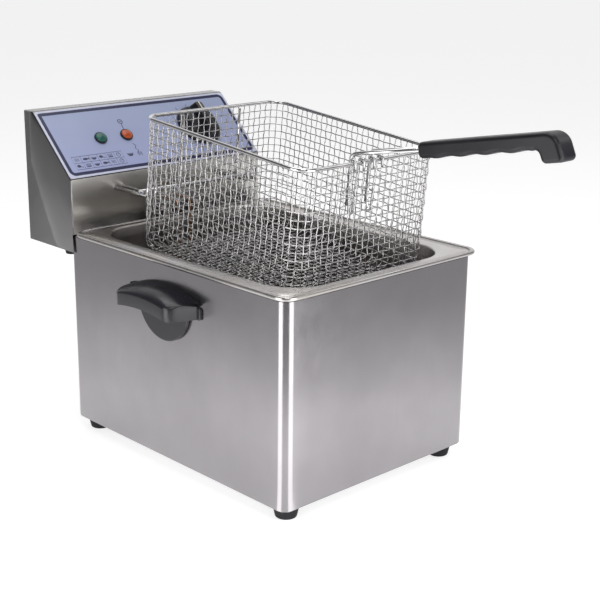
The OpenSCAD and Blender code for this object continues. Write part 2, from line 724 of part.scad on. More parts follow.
casing_shell();
casing_base();
side_handle_left();
side_handle_right();
side_handle_screws();
foot_front_left();
foot_front_right();
foot_rear_left();
foot_rear_right();
foot_screws();
oil_tank();
head_cover();
head_back_plate();
head_base_plate();
head_hook();
head_screws();
head_feet();
control_panel();
green_lamp_lens();
green_lamp_body();
orange_lamp_lens();
orange_lamp_body();
thermostat_body();
thermostat_nut();
thermostat_capillary();
thermostat_bulb();
limit_thermostat();
limit_capillary();
limit_bulb();
bulb_clip();
heating_element();
element_flange();
element_nuts();
element_support();
terminal_block();
interlock_switch();
cable_gland();
gland_nut();
basket_hanger();
reset_collar();
interlock_plunger();
reset_button();
control_knob();
thermostat_shaft();
basket_mesh();
basket_rim();
basket_hook();
handle_bracket();
handle_wires();
handle_grip();
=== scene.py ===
"""Looks of a countertop deep fryer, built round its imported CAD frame.

Metres, +Z up, the front faces -Y. Places come from the frame: boxes of CAD nodes and joint axes.
Sizes that only the looks need are named below, in millimetres times MM.
"""

import json
import math

import bmesh
import bpy
from mathutils import Matrix, Vector


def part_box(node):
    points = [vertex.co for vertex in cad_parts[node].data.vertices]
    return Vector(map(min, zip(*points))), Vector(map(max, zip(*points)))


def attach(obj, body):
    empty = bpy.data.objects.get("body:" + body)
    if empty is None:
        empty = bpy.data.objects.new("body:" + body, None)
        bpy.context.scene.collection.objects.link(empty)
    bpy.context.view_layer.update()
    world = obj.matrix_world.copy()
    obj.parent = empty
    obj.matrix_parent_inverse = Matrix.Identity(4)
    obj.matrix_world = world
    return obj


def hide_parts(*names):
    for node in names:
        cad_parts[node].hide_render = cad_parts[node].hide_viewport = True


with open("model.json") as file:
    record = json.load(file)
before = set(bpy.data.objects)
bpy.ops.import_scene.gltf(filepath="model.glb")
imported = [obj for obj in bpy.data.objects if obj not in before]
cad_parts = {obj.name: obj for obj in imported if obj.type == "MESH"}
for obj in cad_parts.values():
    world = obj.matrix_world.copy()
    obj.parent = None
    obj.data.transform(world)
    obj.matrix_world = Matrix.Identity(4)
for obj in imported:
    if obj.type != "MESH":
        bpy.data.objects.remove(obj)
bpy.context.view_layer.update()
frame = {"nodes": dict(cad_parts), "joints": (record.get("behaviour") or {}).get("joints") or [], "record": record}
MM = 0.001
UP = Vector((0, 0, 1))

# ---- places taken from the frame ----

joints = {j["name"]: j for j in frame["joints"]}
shell_lo, shell_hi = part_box("casing_shell")
tank_lo, tank_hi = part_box("oil_tank")
head_lo, head_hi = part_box("head_cover")
rim_lo, rim_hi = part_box("basket_rim")
hook_lo, hook_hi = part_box("basket_hook")
hanger_lo, hanger_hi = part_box("basket_hanger")
prong_lo, prong_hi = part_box("handle_wires")

CASING_W = shell_hi.x - shell_lo.x
CASING_D = shell_hi.y - shell_lo.y
CASING_Y = (shell_hi.y + shell_lo.y) / 2
CASE_Z = shell_lo.z
CASE_TOP = shell_hi.z
RIM_TOP = tank_hi.z

# Brightness of the room, the far wall, the strips, and the key, fill and top softboxes.
ROOM, FAR_WALL, STRIP, KEY, FILL, TOP = 0.13, 0.95, 2.6, 5.0, 1.5, 2.0
# Glow of the floor where it is white, and the painted light before the strips on top of that, which the near
# corner shows as bright bands.
FLOOR_GLOW, BAND_GLOW = 0.74, 1.5

PANEL_N = -Vector(joints["knob_turn"]["axis"]).normalized()
PANEL_T = Vector((0, PANEL_N.z, -PANEL_N.y))
KNOB_AT = Vector(joints["knob_turn"]["pos_m"])
KNOB_T = (KNOB_AT.y - head_lo.y) / PANEL_T.y
PANEL_AT = Vector((0, head_lo.y, KNOB_AT.z - KNOB_T * PANEL_T.z))
PANEL_W = head_hi.x - head_lo.x
PANEL_L = (head_hi.z - PANEL_AT.z) / PANEL_T.z

RIM_WIRE = 4 * MM
BASKET_UP = Vector(joints["handle_release"]["axis"]).normalized()
BASKET_BACK = Vector((0, BASKET_UP.z, -BASKET_UP.y))
BASKET_AT = (rim_lo + rim_hi) / 2
BASKET_W = rim_hi.x - rim_lo.x - RIM_WIRE
BASKET_D = (rim_hi.y - rim_lo.y - RIM_WIRE) / BASKET_UP.z
BASKET_H = 142 * MM
# Fold from wall to floor and upright corners of the weave, and how far below the rim it starts.
FOLD, BASKET_CORNER, WEAVE_TOP = 8 * MM, 18 * MM, 1.2 * MM


def panel_frame(s=0.0, t=0.0, h=0.0):
    """Matrix whose X runs across the sloping panel, Y up it and Z out of it."""
    at = PANEL_AT + Vector((s, 0, 0)) + PANEL_T * t + PANEL_N * h
    return Matrix.Translation(at) @ Matrix((Vector((1, 0, 0)), PANEL_T, PANEL_N)).transposed().to_4x4()


def basket_frame():
    """Matrix from the basket's own frame, centred on its rim wire, to the row frame."""
    axes = Matrix((Vector((1, 0, 0)), BASKET_BACK, BASKET_UP)).transposed().to_4x4()
    return Matrix.Translation(BASKET_AT) @ axes


def mm(*values):
    """Numbers or points given in millimetres, as a list in metres."""
    return [tuple(x * MM for x in v) if isinstance(v, tuple) else v * MM for v in values]


# ---- mesh helpers ----

def piece(name, verts, faces, body, slot, replaces=(), material=None, smooth=True, matrix=None):
    """A mesh object that rides on a body, in its slot's material unless another is given."""
    mesh = bpy.data.meshes.new(name)
    mesh.from_pydata([tuple(v) for v in verts], [], faces)
    if matrix is not None:
        mesh.transform(matrix)
    bm = bmesh.new()
    bm.from_mesh(mesh)
    bmesh.ops.remove_doubles(bm, verts=bm.verts, dist=1e-7)
    bmesh.ops.recalc_face_normals(bm, faces=bm.faces)
    bm.to_mesh(mesh)
    bm.free()
    if smooth:
        mesh.shade_smooth()
    obj = bpy.data.objects.new(name, mesh)
    bpy.context.scene.collection.objects.link(obj)
    obj.data.materials.append(material or MATERIALS[slot])
    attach(obj, body)
    if replaces:
        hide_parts(*replaces)
    return obj


def sharpen(obj, degrees=35):
    """Smooth shading that keeps edges sharper than the angle."""
    obj.data.shade_smooth()
    obj.data.set_sharp_from_angle(angle=math.radians(degrees))
    return obj


def bevelled(obj, width, segments=3, degrees=40):
    """Rounds the sharp edges."""
    mod = obj.modifiers.new("Round", "BEVEL")
    mod.width = width
    mod.segments = segments
    mod.limit_method = "ANGLE"
    mod.angle_limit = math.radians(degrees)
    return obj


def rounded_rect(w, d, r, steps=8, centre=(0, 0)):
    """Points round a rectangle with round corners, anticlockwise, the same count for every size."""
    pts = []
    for k, (sx, sy) in enumerate(((1, -1), (1, 1), (-1, 1), (-1, -1))):
        c = (centre[0] + sx * (w / 2 - r), centre[1] + sy * (d / 2 - r))
        for i in range(steps + 1):
            a = math.radians(-90 + 90 * k + 90 * i / steps)
            pts.append((c[0] + r * math.cos(a), c[1] + r * math.sin(a)))
    return pts


def ring_faces(count, rings, closed=False, caps=False):
    """Quads between successive rings of count points."""
    faces = []
    last = rings if closed else rings - 1
    for k in range(last):
        a, b = k * count, ((k + 1) % rings) * count
        for i in range(count):
            j = (i + 1) % count
            faces.append((a + i, a + j, b + j, b + i))
    if caps:
        faces.append(tuple(range(count))[::-1])
        faces.append(tuple((rings - 1) * count + i for i in range(count)))
    return faces


def lathe(profile, steps=64):
    """Verts and faces of a profile of (radius, height) turned round Z. Radius 0 makes a pole."""
    verts, faces, rows = [], [], []
    for r, z in profile:
        if r < 1e-9:
            rows.append([len(verts)] * steps)
            verts.append((0, 0, z))
            continue
        rows.append(list(range(len(verts), len(verts) + steps)))
        verts += [(r * math.cos(2 * math.pi * i / steps), r * math.sin(2 * math.pi * i / steps), z)
                  for i in range(steps)]
    for low, high in zip(rows, rows[1:]):
        for i in range(steps):
            j = (i + 1) % steps
            face = []
            for v in (low[i], low[j], high[j], high[i]):
                if v not in face:
                    face.append(v)
            if len(face) > 2:
                faces.append(tuple(face))
    return verts, faces


def fillet(profile, radii, steps=4):
    """The same profile with each inner corner rounded to its radius."""
    pts = [Vector(p) for p in profile]
    out = [pts[0]]
    for i in range(1, len(pts) - 1):
        out += corner_arc(pts[i - 1], pts[i], pts[i + 1], radii[i - 1], steps)
    out.append(pts[-1])
    return out


def corner_arc(a, p, b, radius, steps):
    """Points on the arc that rounds corner p of the path a, p, b."""
    u, v = (a - p).normalized(), (b - p).normalized()
    angle = u.angle(v)
    if radius <= 0 or angle > math.pi - 1e-3:
        return [p]
    cut = min(radius / math.tan(angle / 2), 0.49 * (a - p).length, 0.49 * (b - p).length)
    radius = cut * math.tan(angle / 2)
    centre = p + (u + v).normalized() * (radius / math.sin(angle / 2))
    start, end = p + u * cut - centre, p + v * cut - centre
    sweep = start.angle(end)
    if sweep < 1e-6:
        return [p]
    return [centre + (start * math.sin(sweep * (1 - k / steps)) + end * math.sin(sweep * k / steps))
            / math.sin(sweep) for k in range(steps + 1)]


def bent(points, radius, steps=6):
    """A path through the points with every inner corner bent to the radius."""
    return fillet(points, [radius] * (len(points) - 2), steps)


def tube(path, radius, sides=12, closed=False):
    """Verts and faces of round bar along a path, its rings carried along without twist."""
    path = [Vector(p) for p in path]
    n = len(path)
    verts, normal = [], None
    for i, p in enumerate(path):
        before = path[i - 1] if (i > 0 or closed) else p
        after = path[(i + 1) % n] if (i < n - 1 or closed) else p
        tangent = (after - before).normalized()
        if normal is None:
            normal = tangent.orthogonal().normalized()
        normal = (normal - tangent * normal.dot(tangent)).normalized()
        side = tangent.cross(normal)
        r = radius(i, n) if callable(radius) else radius
        for k in range(sides):
            a = 2 * math.pi * k / sides
            verts.append(p + (normal * math.cos(a) + side * math.sin(a)) * r)
    return verts, ring_faces(sides, n, closed=closed, caps=not closed)


def joined(parts):
    """Several (verts, faces) made into one."""
    verts, faces = [], []
    for v, f in parts:
        base = len(verts)
        verts += list(v)
        faces += [tuple(base + i for i in face) for face in f]
    return verts, faces


def prism(outline, low, high):
    """Verts and faces of a plane outline extruded between two heights."""
    n = len(outline)
    verts = [(p[0], p[1], low) for p in outline] + [(p[0], p[1], high) for p in outline]
    faces = [tuple(range(n))[::-1], tuple(range(n, 2 * n))]
    faces += [(i, (i + 1) % n, n + (i + 1) % n, n + i) for i in range(n)]
    return verts, faces


def moved(part, matrix):
    return [matrix @ Vector(v) for v in part[0]], part[1]


# ---- materials ----

MATERIALS = {}


class Nodes:
    """A material's node tree, with short ways to add and join nodes."""

    def __init__(self, name):
        self.material = bpy.data.materials.new(name)
        MATERIALS[name] = self.material
        self.material.use_nodes = True
        self.tree = self.material.node_tree
        self.shader = self.tree.nodes["Principled BSDF"]
        self.place = self.add("ShaderNodeTexCoord").outputs["Object"]

    def add(self, kind, **values):
        node = self.tree.nodes.new(kind)
        for key, value in values.items():
            setattr(node, key, value)
        return node

    def link(self, a, b):
        self.tree.links.new(a, b)

    def scaled(self, scale):
        """Object coordinates, in metres, times a scale on each axis."""
        node = self.add("ShaderNodeMapping")
        node.inputs["Scale"].default_value = scale
        self.link(self.place, node.inputs["Vector"])
        return node.outputs["Vector"]

    def noise(self, scale, detail=2.0, rough=0.5, stretch=(1, 1, 1)):
        node = self.add("ShaderNodeTexNoise")
        node.inputs["Scale"].default_value = scale
        node.inputs["Detail"].default_value = detail
        node.inputs["Roughness"].default_value = rough
        self.link(self.scaled(stretch), node.inputs["Vector"])
        return node.outputs["Fac"]

    def remap(self, value, low, high, start=0.0, end=1.0):
        node = self.add("ShaderNodeMapRange")
        node.inputs["From Min"].default_value = start
        node.inputs["From Max"].default_value = end
        node.inputs["To Min"].default_value = low
        node.inputs["To Max"].default_value = high
        self.link(value, node.inputs["Value"])
        return node.outputs["Result"]

    def mix(self, factor, a, b):
        node = self.add("ShaderNodeMix", data_type="RGBA")
        for key, value in (("A", a), ("B", b)):
            sockets = [s for s in node.inputs if s.name == key and s.type == "RGBA"]
            if isinstance(value, tuple):
                sockets[0].default_value = (*value, 1)
            else:
                self.link(value, sockets[0])
        factors = [s for s in node.inputs if s.name == "Factor" and s.type == "VALUE"]
        if isinstance(factor, float):
            factors[0].default_value = factor
        else:
            self.link(factor, factors[0])
        return [s for s in node.outputs if s.type == "RGBA"][0]

    def math(self, operation, a, b=None):
        node = self.add("ShaderNodeMath", operation=operation)
        for socket, value in zip(node.inputs, (a, b)):
            if value is None:
                continue
            if isinstance(value, (int, float)):
                socket.default_value = value
            else:
                self.link(value, socket)
        return node.outputs["Value"]

    def bump(self, height, strength, distance=0.0002, on_top_of=None):
        node = self.add("ShaderNodeBump")
        node.inputs["Strength"].default_value = strength
        node.inputs["Distance"].default_value = distance
        self.link(height, node.inputs["Height"])
        if on_top_of is not None:
            self.link(on_top_of, node.inputs["Normal"])
        return node.outputs["Normal"]

    def set(self, **values):
        names = {"color": "Base Color", "rough": "Roughness", "metal": "Metallic",
                 "normal": "Normal", "coat": "Coat Weight", "coat_rough": "Coat Roughness",
                 "specular": "Specular IOR Level", "glow": "Emission Color",
                 "glow_strength": "Emission Strength"}
        for key, value in values.items():
            socket = self.shader.inputs[names[key]]
            if isinstance(value, tuple):
                socket.default_value = (*value, 1)
            elif isinstance(value, (int, float)):
                socket.default_value = value
            else:
                self.link(value, socket)
        return self.material


def steel(name, color, rough, grain=(60, 60, 1), stain=0.0, stain_color=(0.4, 0.37, 0.28)):
    """Brushed sheet: fine scratches along the grain axis, cloudy patches, faint smears."""
    n = Nodes(name)
    scratches = n.noise(40, 3.0, 0.6, grain)
    clouds = n.noise(9, 3.0, 0.55)
    smears = n.noise(45, 4.0, 0.6)
    dark = tuple(c * 0.94 for c in color)
    light = tuple(min(1.0, c * 1.05) for c in color)
    base = n.mix(n.remap(clouds, 0, 1, 0.35, 0.65), dark, light)
    base = n.mix(n.remap(scratches, 0.0, 0.12, 0.4, 0.75), base, tuple(c * 0.75 for c in color))
    if stain:
        base = n.mix(n.remap(n.noise(16, 4.0, 0.6), 0.0, stain, 0.4, 0.7), base, stain_color)
    spread = n.math("ADD", n.remap(scratches, -0.03, 0.03, 0.3, 0.7),
                    n.remap(smears, rough - 0.03, rough + 0.04, 0.35, 0.7))
    normal = n.bump(scratches, 0.06, 0.00004)
    normal = n.bump(clouds, 0.05, 0.002, normal)
    return n.set(color=base, rough=spread, metal=1.0, normal=normal)


def chrome(name, color, rough=0.14):
    """Plated wire: bright, with faint drawing marks and dull spots."""
    n = Nodes(name)
    marks = n.noise(700, 2.0, 0.6)
    spots = n.noise(60, 3.0, 0.55)
    base = n.mix(n.remap(spots, 0, 1, 0.4, 0.7), color, tuple(c * 0.82 for c in color))
    return n.set(color=base, metal=1.0,
                 rough=n.remap(spots, rough * 0.8, rough * 1.5, 0.35, 0.7),
                 normal=n.bump(marks, 0.12, 0.00004))


def plastic(name, color, rough, grain=0.25, coat=0.0):
    """Moulded plastic: fine leathery grain, slight mottling and handling shine."""
    n = Nodes(name)
    fine = n.noise(2600, 2.0, 0.6)
    mottle = n.noise(28, 3.0, 0.5)
    base = n.mix(n.remap(mottle, 0, 1, 0.35, 0.65), color, tuple(c * 1.35 for c in color))
    return n.set(color=base, metal=0.0, specular=0.35, coat=coat, coat_rough=0.2,
                 rough=n.remap(mottle, rough * 0.85, rough * 1.2, 0.35, 0.65),
                 normal=n.bump(fine, grain, 0.00008))


def rubber(name, color):
    n = Nodes(name)
    dust = n.noise(120, 4.0, 0.65)
    base = n.mix(n.remap(dust, 0.0, 0.4, 0.5, 0.8), color, (0.035, 0.033, 0.035))
    return n.set(color=base, metal=0.0, specular=0.25, rough=n.remap(dust, 0.55, 0.8, 0.3, 0.7),
                 normal=n.bump(n.noise(1500, 3.0, 0.6), 0.3, 0.0001))


def lens(name, color, glow, strength):
    """Tinted lamp cap with a faceted inner core showing through."""
    n = Nodes(name)
    cells = n.add("ShaderNodeTexVoronoi")
    cells.inputs["Scale"].default_value = 420
    n.link(n.scaled((1, 1, 1)), cells.inputs["Vector"])
    facets = n.remap(cells.outputs["Distance"], 0, 1, 0.0, 0.6)
    base = n.mix(facets, tuple(min(1, c * 1.5) for c in color), tuple(c * 0.55 for c in color))
    return n.set(color=base, rough=0.3, coat=0.2, coat_rough=0.12, glow=glow,
                 glow_strength=strength, metal=0.0,
                 normal=n.bump(cells.outputs["Distance"], 0.2, 0.0003))


def ink(name, color, rough=0.5):
    n = Nodes(name)
    speck = n.noise(1800, 2.0, 0.6)
    base = n.mix(n.remap(speck, 0, 1, 0.4, 0.7), color, tuple(c * 1.25 for c in color))
    return n.set(color=base, rough=n.remap(speck, rough * 0.9, rough * 1.1, 0.3, 0.7), metal=0.0,
                 normal=n.bump(speck, 0.05, 0.00003))


def overlay(name, low, high, t_from, t_to):
    """Printed panel film: its colour pales up the slope, with a faint screen texture."""
    n = Nodes(name)
    split = n.add("ShaderNodeSeparateXYZ")
    n.link(n.place, split.inputs["Vector"])
    rise = n.remap(split.outputs["Z"], 0.0, 1.0, t_from, t_to)
    base = n.mix(rise, low, high)
    cloud = n.noise(14, 3.0, 0.5)
    base = n.mix(n.remap(cloud, 0.0, 0.35, 0.35, 0.7), base, tuple(c * 0.9 for c in low))
    fine = n.noise(2400, 2.0, 0.6)
    return n.set(color=base, metal=0.0, rough=n.remap(cloud, 0.3, 0.4, 0.3, 0.7),
                 normal=n.bump(fine, 0.12, 0.00005))


steel("casing_steel", (0.37, 0.354, 0.368), 0.21)
steel("tank_steel", (0.56, 0.54, 0.535), 0.30, (60, 1, 60), 0.3)
# Painted shade: the head's sheet is a darker copy of the casing steel, standing in for the darker surroundings its
# side plates reflect.
steel("head_steel", (0.20, 0.195, 0.20), 0.17)
# Painted light: a paler copy of the head's steel for its front wall, standing in for the brighter light that wall
# reflects.
HEAD_FRONT_PAINTED_LIGHT = steel("head_front_steel", (0.66, 0.645, 0.61), 0.36, (1, 1, 60))
steel("bracket_steel", (0.5, 0.5, 0.5), 0.32)
chrome("fastener_steel", (0.6, 0.6, 0.6), 0.2)
chrome("chromed_wire", (0.66, 0.65, 0.66), 0.12)
MESH_WIRE = chrome("mesh_wire", (0.62, 0.61, 0.61), 0.2)
plastic("handle_plastic", (0.013, 0.012, 0.016), 0.24, 0.1, 0.25)
plastic("grip_plastic", (0.010, 0.009, 0.012), 0.36)
plastic("knob_plastic", (0.010, 0.010, 0.012), 0.22)
plastic("black_plastic", (0.02, 0.02, 0.022), 0.45)
IVORY = plastic("ivory_plastic", (0.66, 0.61, 0.5), 0.5)
plastic("reset_red", (0.4, 0.018, 0.015), 0.3, 0.08)
rubber("foot_rubber", (0.012, 0.011, 0.013))
plastic("lamp_bezel", (0.012, 0.012, 0.014), 0.25, 0.06)
lens("green_lens", (0.002, 0.07, 0.055), (0, 0.3, 0.22), 0.12)
lens("orange_lens", (0.34, 0.045, 0.002), (1.0, 0.14, 0.004), 0.16)
steel("element_steel", (0.2, 0.18, 0.17), 0.38, (20, 20, 20))
steel("copper_tube", (0.62, 0.34, 0.2), 0.3, (20, 20, 20))
NAVY = ink("navy_ink", (0.007, 0.009, 0.06), 0.35)
GREY_INK = ink("grey_ink", (0.035, 0.038, 0.085))
FIELD = overlay("panel_field", (0.37, 0.41, 0.66), (0.36, 0.42, 0.60), PANEL_AT.z, head_hi.z)
overlay("panel_print", (0.62, 0.64, 0.80), (0.64, 0.67, 0.82), PANEL_AT.z, head_hi.z)

def dress_cad_nodes():
    """Every CAD node gets the material that is named after its slot."""
    for part in frame["record"]["subparts"]:
        obj = frame["nodes"][part["node"]]
        obj.data.materials.clear()
        obj.data.materials.append(MATERIALS[part["material_slot"]])


# ---- casing ----

def rect_rings(profile, w, d, r, centre, steps=8):
    """Rings of a rounded rectangle, each moved out by o and lifted to z, for (o, z) in profile."""
    verts = []
    for o, z in profile:
        ring = rounded_rect(w + 2 * o, d + 2 * o, max(r + o, 0.2 * MM), steps, centre)
        verts += [(x, y, z) for x, y in ring]
    return verts, 4 * (steps + 1)


def make_casing():
    """Folded steel box: flange underneath, rounded upright corners, flange round the tank."""
    sheet, corner, bend_r = mm(1, 11, 1.6)
    low, high = CASE_Z, CASE_TOP
    outside = fillet([(-33 * MM, low), (0, low), (0, high), (-12 * MM, high)],
                     [bend_r, bend_r], 4)
    inside = fillet([(-12 * MM, high - sheet), (-sheet, high - sheet), (-sheet, low + sheet),
                     (-33 * MM, low + sheet)], [bend_r - sheet / 2] * 2, 4)
    profile = outside + inside
    verts, count = rect_rings(profile, CASING_W, CASING_D, corner, (0, CASING_Y), 10)
    faces = ring_faces(count, len(profile), closed=True)
    obj = piece("casing_wrap", verts, faces, "casing", "casing_steel", ["casing_shell"])
    sharpen(obj, 40)


def make_feet():
    """Tapered rubber feet, hollow underneath round their screws."""
    for side in ("front_left", "front_right", "rear_left", "rear_right"):
        lo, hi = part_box("foot_" + side)
        r = (hi.x - lo.x) / 2
        h = hi.z - lo.z
        profile = fillet([(5.5 * MM, 6 * MM), (5.5 * MM, 0), (r * 0.8, 0), (r * 0.97, h * 0.75),
                          (r, h - 1 * MM), (r, h), (2 * MM, h)],
                         mm(0.4, 2.2, 1, 0.8, 0.5))
        verts, faces = lathe([(2.2 * MM, 6 * MM)] + profile + [(2.2 * MM, h)], 48)
        centre = Matrix.Translation(((lo.x + hi.x) / 2, (lo.y + hi.y) / 2, lo.z))
        sharpen(piece("foot_rubber_" + side, verts, faces, "casing", "foot_rubber",
                      ["foot_" + side], matrix=centre), 50)


def hood_grid(up=12):
    """Grid of an arched hood: columns round its plan, rows from the lip over the roof to the wall."""
    half, front, reach = mm(55, 43, 33)
    apex, lip_low, lip_high, arch = mm(22.5, -4.5, 8, 4.5)
    plan = bent([(0, -half), (reach, -front), (reach, front), (0, half)], 11 * MM, 8)
    edge = []
    for a, b in zip(plan, plan[1:]):
        steps = max(1, round((b - a).length / (4 * MM)))
        edge += [a + (b - a) * i / steps for i in range(steps)]
    edge.append(plan[-1])
    verts = []
    for x, y in edge:
        bow = arch * max(0, 1 - (y / front) ** 2)
        lip = lip_high + bow
        verts += [(x, y, lip_low + bow), (x, y, lip - 1 * MM), (x, y, lip)]
        at_wall = y * (1 + (half / front - 1) * x / reach)
        for k in range(1, up + 1):
            c = 1 - (k / up) ** 1.6
            side = y + (at_wall - y) * (1 - c)
            rise = 9 * MM + (apex - 9 * MM) * (1 - min(1, abs(side) / half) ** 2.2)
            verts.append((x * c, side, lip + max(0, rise - lip) * (1 - c ** 2.6) ** 0.6))
    rows = up + 3
    return verts, [(i * rows + k, (i + 1) * rows + k, (i + 1) * rows + k + 1, i * rows + k + 1)
                   for i in range(len(edge) - 1) for k in range(rows - 1)]


def make_side_handles():
    """Moulded hoods with a finger recess, on a flange with a half disc below."""
    for side, sign in (("left", -1), ("right", 1)):
        lo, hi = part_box("side_handle_" + side)
        wall = shell_lo.x if sign < 0 else shell_hi.x
        at = Vector((wall, (lo.y + hi.y) / 2 - 4 * MM, CASE_Z + 172 * MM))
        place = Matrix.Translation(at) @ Matrix.Diagonal((sign, 1, 1, 1))
        hood = piece("handle_hood_" + side, *hood_grid(), "casing", "handle_plastic",
                     ["side_handle_" + side], matrix=place)
        thick = hood.modifiers.new("Wall", "SOLIDIFY")
        thick.thickness = 2.6 * MM
        thick.offset = -1
        thick.use_even_offset = True
        bevelled(hood, 0.7 * MM, 3, 50)
        disc_r, disc_up = mm(41.5, 2.5)
        disc = [(disc_r * math.cos(a), disc_up + disc_r * math.sin(a))
                for a in (math.radians(180 + 180 * k / 40) for k in range(41))]
        disc = [(-disc_r, disc_up + 6 * MM)] + disc + [(disc_r, disc_up + 6 * MM)]
        turn = Matrix(((0, 0, 1, 0), (1, 0, 0, 0), (0, 1, 0, 0), (0, 0, 0, 1)))
        plate = moved(prism(disc, 0, 4 * MM), turn)
        tab = moved(prism(rounded_rect(118 * MM, 13 * MM, 3 * MM, 4, (0, 1.5 * MM)), 0, 3 * MM), turn)
        back = piece("handle_backing_" + side, *joined([plate, tab]), "casing",
                     "handle_plastic", matrix=place)
        bevelled(sharpen(back, 30), 1.0 * MM, 3, 50)


# ---- oil tank ----

def make_tank():
    """Deep-drawn tank: rolled bead, groove, flange, a shallow ramp to the mouth, walls and floor."""
    sheet, bead, drop = mm(0.9, 2.6, 1.2)
    half_w = (tank_hi.x - tank_lo.x) / 2
    half_d = (tank_hi.y - tank_lo.y) / 2
    rim = (2 * half_w, 2 * half_d, 16 * MM, (0, (tank_hi.y + tank_lo.y) / 2))
    mouth = (228 * MM, 314 * MM, 41 * MM, (0, CASING_Y - 5 * MM))
    floor, top = tank_lo.z, RIM_TOP
    roll = [(-bead + bead * math.cos(a), top - bead + bead * math.sin(a))
            for a in (math.radians(-120 + 20 * k) for k in range(16))]
    outer = roll + [(-2 * bead - 0.2 * MM, top - 2.3 * MM), (-2 * bead - 1.2 * MM, top - 2.2 * MM),
                    (-2 * bead - 2 * MM, top - drop)]
    inner = fillet([(10 * MM, top - drop), (8.5 * MM, top - drop), (1 * MM, top - 2.6 * MM),
                    (0, top - 14 * MM), (0, floor + sheet), (-60 * MM, floor + sheet)],
                   mm(1.5, 2.6, 5, 16), 6)
    back = fillet([(-60 * MM, floor), (sheet, floor), (sheet, top - 4.4 * MM),
                   (9 * MM, top - drop - sheet), (10 * MM, top - drop - sheet)],
                  mm(17, 2, 1), 6)
    below = [(-2 * bead - 2 * MM, top - drop - sheet), (-2 * bead + 0.2 * MM, top - 3.2 * MM),
             (-2 * bead + 0.6 * MM, top - 3.6 * MM)]
    verts = []
    for path, place in ((outer, rim), (inner, mouth), (back, mouth), (below, rim)):
        ring, count = rect_rings(path, *place, 12)
        verts += ring
    faces = ring_faces(count, len(verts) // count, closed=True)
    bottom = rounded_rect(mouth[0] - 120 * MM, mouth[1] - 120 * MM, 0.2 * MM, 12, mouth[3])
    for z in (floor + sheet, floor):
        faces.append(tuple(range(len(verts), len(verts) + count)))
        verts += [(x, y, z) for x, y in bottom]
    tank = piece("tank_pan", verts, faces, "tank", "tank_steel", ["oil_tank"])
    sharpen(tank, 55)


# ---- basket ----

def crimp(step, phase):
    """Sideways wander of a woven wire, 4 samples to each crossing."""
    return math.cos(math.pi * (step / 4 + phase))


def wall_point(along, down, offset):
    """Point of the basket's wall and bottom fold, offset outwards. along is (x, y, outward)."""
    x, y, n = along
    straight = BASKET_H - FOLD
    if down <= straight:
        return Vector((x + n[0] * offset, y + n[1] * offset, -down))
    a = min((down - straight) / FOLD, math.pi / 2)
    drop = FOLD * math.sin(a)
    back = FOLD * (1 - math.cos(a))
    o = offset * math.cos(a)
    return Vector((x + n[0] * (o - back), y + n[1] * (o - back),
                   -straight - drop - offset * math.sin(a)))


def station(s, w, d, r):
    """Place and outward normal at distance s round the wall, from the middle of the front."""
    quarter = math.pi * r / 2
    legs = [w / 2 - r, quarter, d - 2 * r, quarter, w - 2 * r, quarter, d - 2 * r, quarter, w / 2 - r]
    corners = [(w / 2 - r, -d / 2 + r, -90), (w / 2 - r, d / 2 - r, 0), (-w / 2 + r, d / 2 - r, 90),
               (-w / 2 + r, -d / 2 + r, 180)]
    starts = [(0, -d / 2), (w / 2, -d / 2 + r), (w / 2 - r, d / 2), (-w / 2, d / 2 - r),
              (-w / 2 + r, -d / 2)]
    ways = [(1, 0), (0, 1), (-1, 0), (0, -1), (1, 0)]
    for k, leg in enumerate(legs):
        if s > leg and k < 8:
            s -= leg
            continue
        if k % 2 == 0:
            (x, y), (u, v) = starts[k // 2], ways[k // 2]
            return (x + u * s, y + v * s, (v, -u))
        cx, cy, a0 = corners[k // 2]
        a = math.radians(a0) + s / r
        return (cx + r * math.cos(a), cy + r * math.sin(a), (math.cos(a), math.sin(a)))


def make_weave():
    """Woven wire basket: hoops round the wall, uprights that fold under and cross the floor."""
    wire_r, sway, corner = 0.6 * MM, 0.62 * MM, BASKET_CORNER
    half_w, half_d = BASKET_W / 2, BASKET_D / 2
    parts = []
    rows = 17
    pitch_z = (BASKET_H - WEAVE_TOP) / (rows + 0.5)
    across = 23
    pitch_x = (BASKET_W - 2 * corner) / (across - 4)
    deep = 30
    pitch_y = (BASKET_D - 2 * corner) / (deep - 4)
    for i in range(across - 3):
        at = -half_w + corner + i * pitch_x
        parts.append(cross_wire(0, at, pitch_z, pitch_y, i, wire_r, sway))
    for i in range(deep - 3):
        at = -half_d + corner + i * pitch_y
        parts.append(cross_wire(1, at, pitch_z, pitch_x, i + 1, wire_r, sway))
    total = 2 * (BASKET_W + BASKET_D) - 8 * corner + 2 * math.pi * corner
    for k in range(rows):
        down = WEAVE_TOP + pitch_z * (k + 1)
        count = 4 * 104
        ring = []
        for j in range(count):
            x, y, n = station(total * j / count, BASKET_W, BASKET_D, corner)
            o = -sway * crimp(j, k)
            ring.append(wall_point((x, y, n), down, o))
        parts.append(tube(ring, wire_r, 6, closed=True))
    for cx, cy, a0 in ((1, -1, -90), (1, 1, 0), (-1, 1, 90), (-1, -1, 180)):
        for q in (22.5, 45, 67.5):
            a = math.radians(a0 + q)
            n = (math.cos(a), math.sin(a))
            x = cx * (half_w - corner) + corner * n[0]
            y = cy * (half_d - corner) + corner * n[1]
            length = BASKET_H - FOLD + FOLD * math.pi / 2
            steps = int(length / (pitch_z / 4))
            path = [wall_point((x, y, n), length * s / steps, sway * crimp(s, q == 45))
                    for s in range(steps + 1)]
            parts.append(tube(path, wire_r, 6))
    verts, faces = joined(parts)
    piece("basket_weave", verts, faces, "basket", "chromed_wire",
          ["basket_mesh"], MESH_WIRE, matrix=basket_frame())


